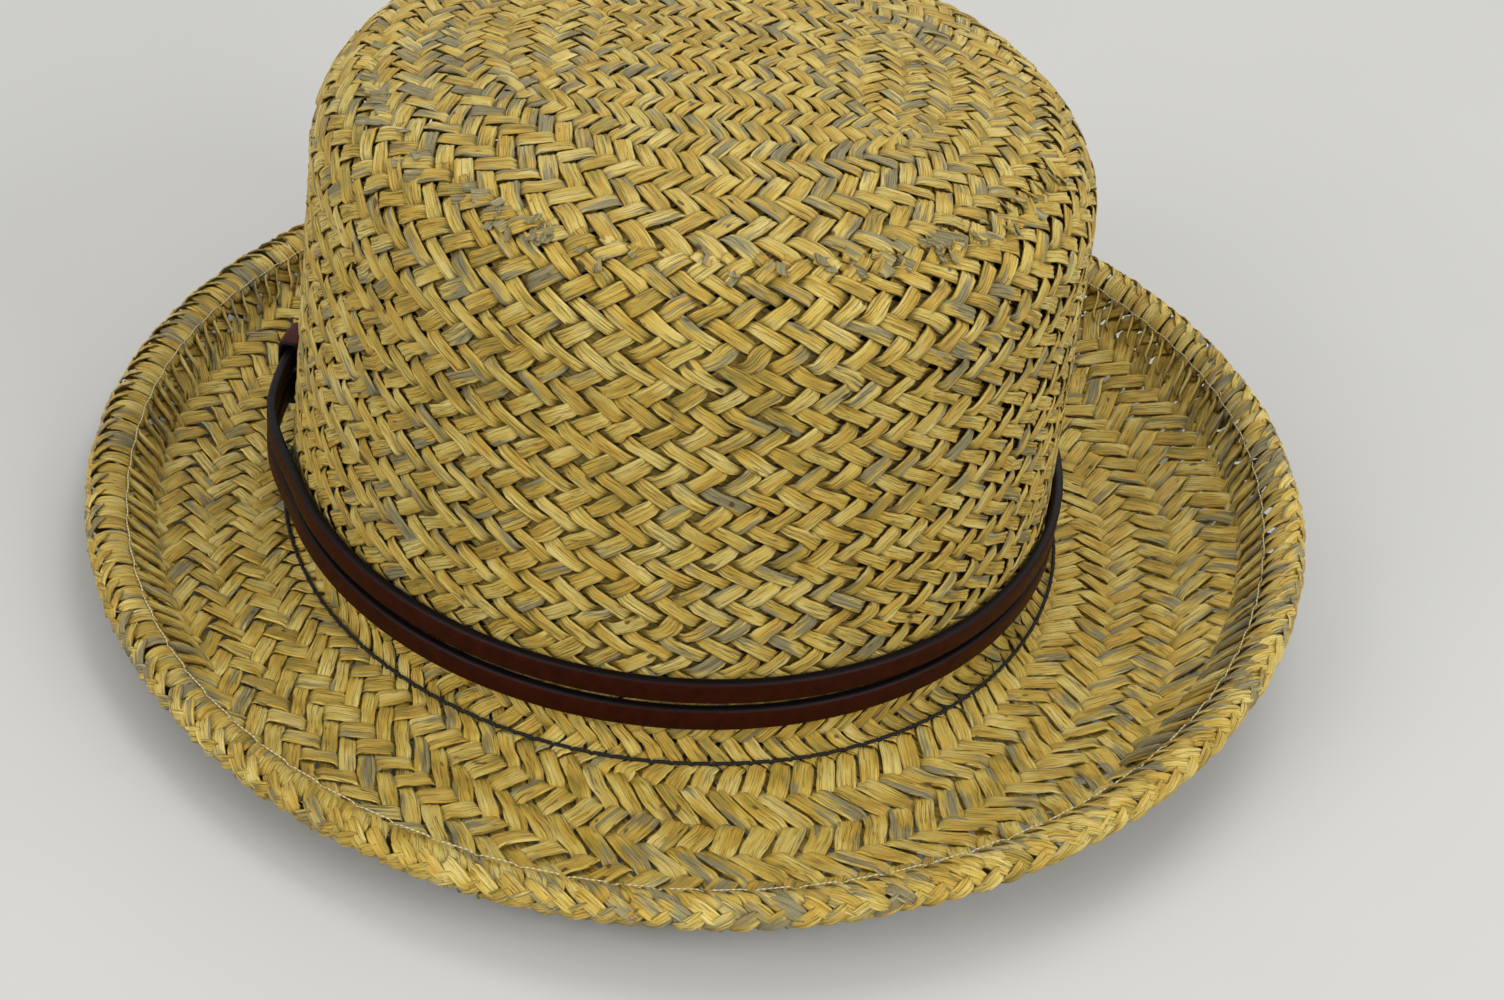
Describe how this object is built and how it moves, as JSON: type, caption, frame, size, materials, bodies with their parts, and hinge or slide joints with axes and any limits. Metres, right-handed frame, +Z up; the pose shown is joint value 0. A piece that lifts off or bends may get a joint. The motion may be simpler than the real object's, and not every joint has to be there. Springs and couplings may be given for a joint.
{
  "type": "straw hat",
  "caption": "Woven straw hat with a round upright crown, an upturned plaited brim, and a double leather strap with a sliding keeper.",
  "frame": {"origin": "on the surface the hat stands on, below the middle of the brim's outline", "axes": "+Z up through the crown, +Y to the back of the hat, +X to its right as seen from the front of the hat at -Y"},
  "size_m": [0.2742, 0.2986, 0.1161],
  "materials": {
    "straw": "two-tone woven straw, satin skin on each strand",
    "straw_edge": "folded and plaited straw",
    "brim_wire": "drawn wire",
    "clear_thread": "thin nylon thread",
    "sweatband_cloth": "matt woven band",
    "black_thread": "twisted sewing thread",
    "joint_tape": "ribbed tape",
    "label_cloth": "blank woven label",
    "strap_leather": "smooth, with dark burnished edges",
    "keeper_leather": "smooth, with dark burnished edges"
  },
  "bodies": {
    "hat": {"crown_tip": "straw", "crown_side": "straw", "brim": "straw", "brim_hem": "straw_edge", "brim_wire": "brim_wire", "edge_braid": "straw_edge", "hem_thread": "clear_thread", "sweatband": "sweatband_cloth", "sweatband_stitching": "black_thread", "sweatband_joint_tape": "joint_tape", "size_label": "label_cloth"},
    "hatband": {"lower_strap": "strap_leather", "upper_strap": "strap_leather"},
    "keeper": {"band_keeper": "keeper_leather"}
  },
  "joints": [
    {"name": "hatband_lift", "type": "slide", "parent": "hat", "child": "hatband", "axis": [0, 0, 1], "range_m": [0, 0.12]},
    {"name": "keeper_slide", "type": "hinge", "parent": "hatband", "child": "keeper", "pos_m": [0.0042, 0, 0.018], "axis": [0, 0, 1], "range_deg": [-8, 8]}
  ]
}
